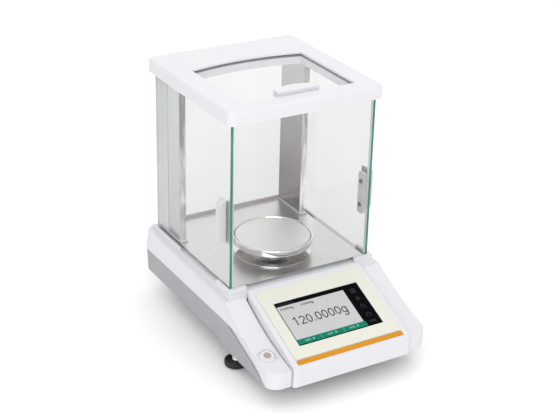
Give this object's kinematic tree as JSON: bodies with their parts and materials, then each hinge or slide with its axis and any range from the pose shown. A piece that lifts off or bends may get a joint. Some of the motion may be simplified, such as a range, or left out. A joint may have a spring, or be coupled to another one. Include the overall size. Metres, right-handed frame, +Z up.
{
  "type": "analytical balance",
  "caption": "Laboratory weighing balance with a glass draft shield, sliding side and top doors, round pan, sloping display console and levelling feet",
  "frame": {"origin": "middle of the bounding box in plan, on the surface that the feet stand on", "axes": "+X to the operator's right, -Y towards the operator, +Z up"},
  "size_m": [0.2006, 0.3084, 0.2996],
  "materials": {
    "white_housing": "white moulded plastic, satin, fine grain",
    "grey_base": "mid grey moulded plastic, fine texture",
    "cream_overlay": "cream printed film, satin",
    "orange_bar": "orange printed film, satin",
    "black_screen": "black screen cover, glossy",
    "black_plastic": "black moulded plastic",
    "circuit_board": "green circuit board",
    "clear_glass": "clear float glass, polished green edges",
    "steel": "brushed stainless steel",
    "dark_steel": "polished dark steel",
    "aluminium": "machined aluminium",
    "iron": "plated iron magnet cup",
    "rubber": "black rubber"
  },
  "bodies": {
    "base": {"upper_shell": "white_housing", "lower_shell": "grey_base", "display_housing": "white_housing", "control_overlay": "cream_overlay", "accent_bar": "orange_bar", "screen_glass": "black_screen", "lcd_panel": "black_plastic", "display_board": "circuit_board", "level_cup": "white_housing", "level_vial": "clear_glass", "floor_plate": "steel", "left_pillar": "steel", "right_pillar": "steel", "left_pillar_foot": "white_housing", "right_pillar_foot": "white_housing", "left_rear_post": "white_housing", "right_rear_post": "white_housing", "front_glass": "clear_glass", "rear_glass": "clear_glass", "shield_cap": "white_housing", "cap_rail_frame": "white_housing", "under_pan_plate": "dark_steel", "receptor_stem": "steel", "cell_base_casting": "aluminium", "cell_frame": "aluminium", "cell_lever": "aluminium", "magnet_cup": "iron", "main_board": "circuit_board", "left_rear_foot": "rubber", "right_rear_foot": "rubber", "rear_port_plate": "black_plastic", "dc_inlet": "black_plastic", "serial_port": "steel", "shell_screw_1": "steel", "shell_screw_2": "steel", "shell_screw_3": "steel", "shell_screw_4": "steel"},
    "left_door": {"left_door_glass": "clear_glass", "left_door_grip": "white_housing", "left_door_plate": "white_housing", "left_door_screw_upper": "steel", "left_door_screw_lower": "steel"},
    "right_door": {"right_door_glass": "clear_glass", "right_door_grip": "white_housing", "right_door_plate": "white_housing", "right_door_screw_upper": "steel", "right_door_screw_lower": "steel"},
    "top_door": {"top_door_glass": "clear_glass", "top_door_grip": "white_housing"},
    "weighing_pan": {"pan": "steel", "pan_support": "aluminium"},
    "left_foot": {"left_foot_pad": "rubber"},
    "left_wheel": {"left_foot_wheel": "black_plastic"},
    "right_foot": {"right_foot_pad": "rubber"},
    "right_wheel": {"right_foot_wheel": "black_plastic"}
  },
  "joints": [
    {"name": "left_door_slide", "type": "slide", "parent": "base", "child": "left_door", "axis": [0, 1, 0], "range_m": [0, 0.1]},
    {"name": "right_door_slide", "type": "slide", "parent": "base", "child": "right_door", "axis": [0, 1, 0], "range_m": [0, 0.1]},
    {"name": "top_door_slide", "type": "slide", "parent": "base", "child": "top_door", "axis": [0, 1, 0], "range_m": [0, 0.1]},
    {"name": "pan_lift", "type": "slide", "parent": "base", "child": "weighing_pan", "axis": [0, 0, 1], "range_m": [0, 0.03]},
    {"name": "left_foot_travel", "type": "slide", "parent": "base", "child": "left_foot", "axis": [0, 0, 1], "range_m": [-0.00375, 0.00375]},
    {"name": "left_foot_turn", "type": "hinge", "parent": "left_foot", "child": "left_wheel", "pos_m": [-0.0869, -0.05285, 0.005], "axis": [0, 0, 1], "range_deg": [-1080, 1080]},
    {"name": "right_foot_travel", "type": "slide", "parent": "base", "child": "right_foot", "axis": [0, 0, 1], "range_m": [-0.00375, 0.00375]},
    {"name": "right_foot_turn", "type": "hinge", "parent": "right_foot", "child": "right_wheel", "pos_m": [0.0869, -0.05285, 0.005], "axis": [0, 0, 1], "range_deg": [-1080, 1080]}
  ],
  "couplings": [
    {"joint": "left_foot_travel", "follows": "left_foot_turn", "m_per_rad": 0.00019894},
    {"joint": "right_foot_travel", "follows": "right_foot_turn", "m_per_rad": 0.00019894}
  ]
}
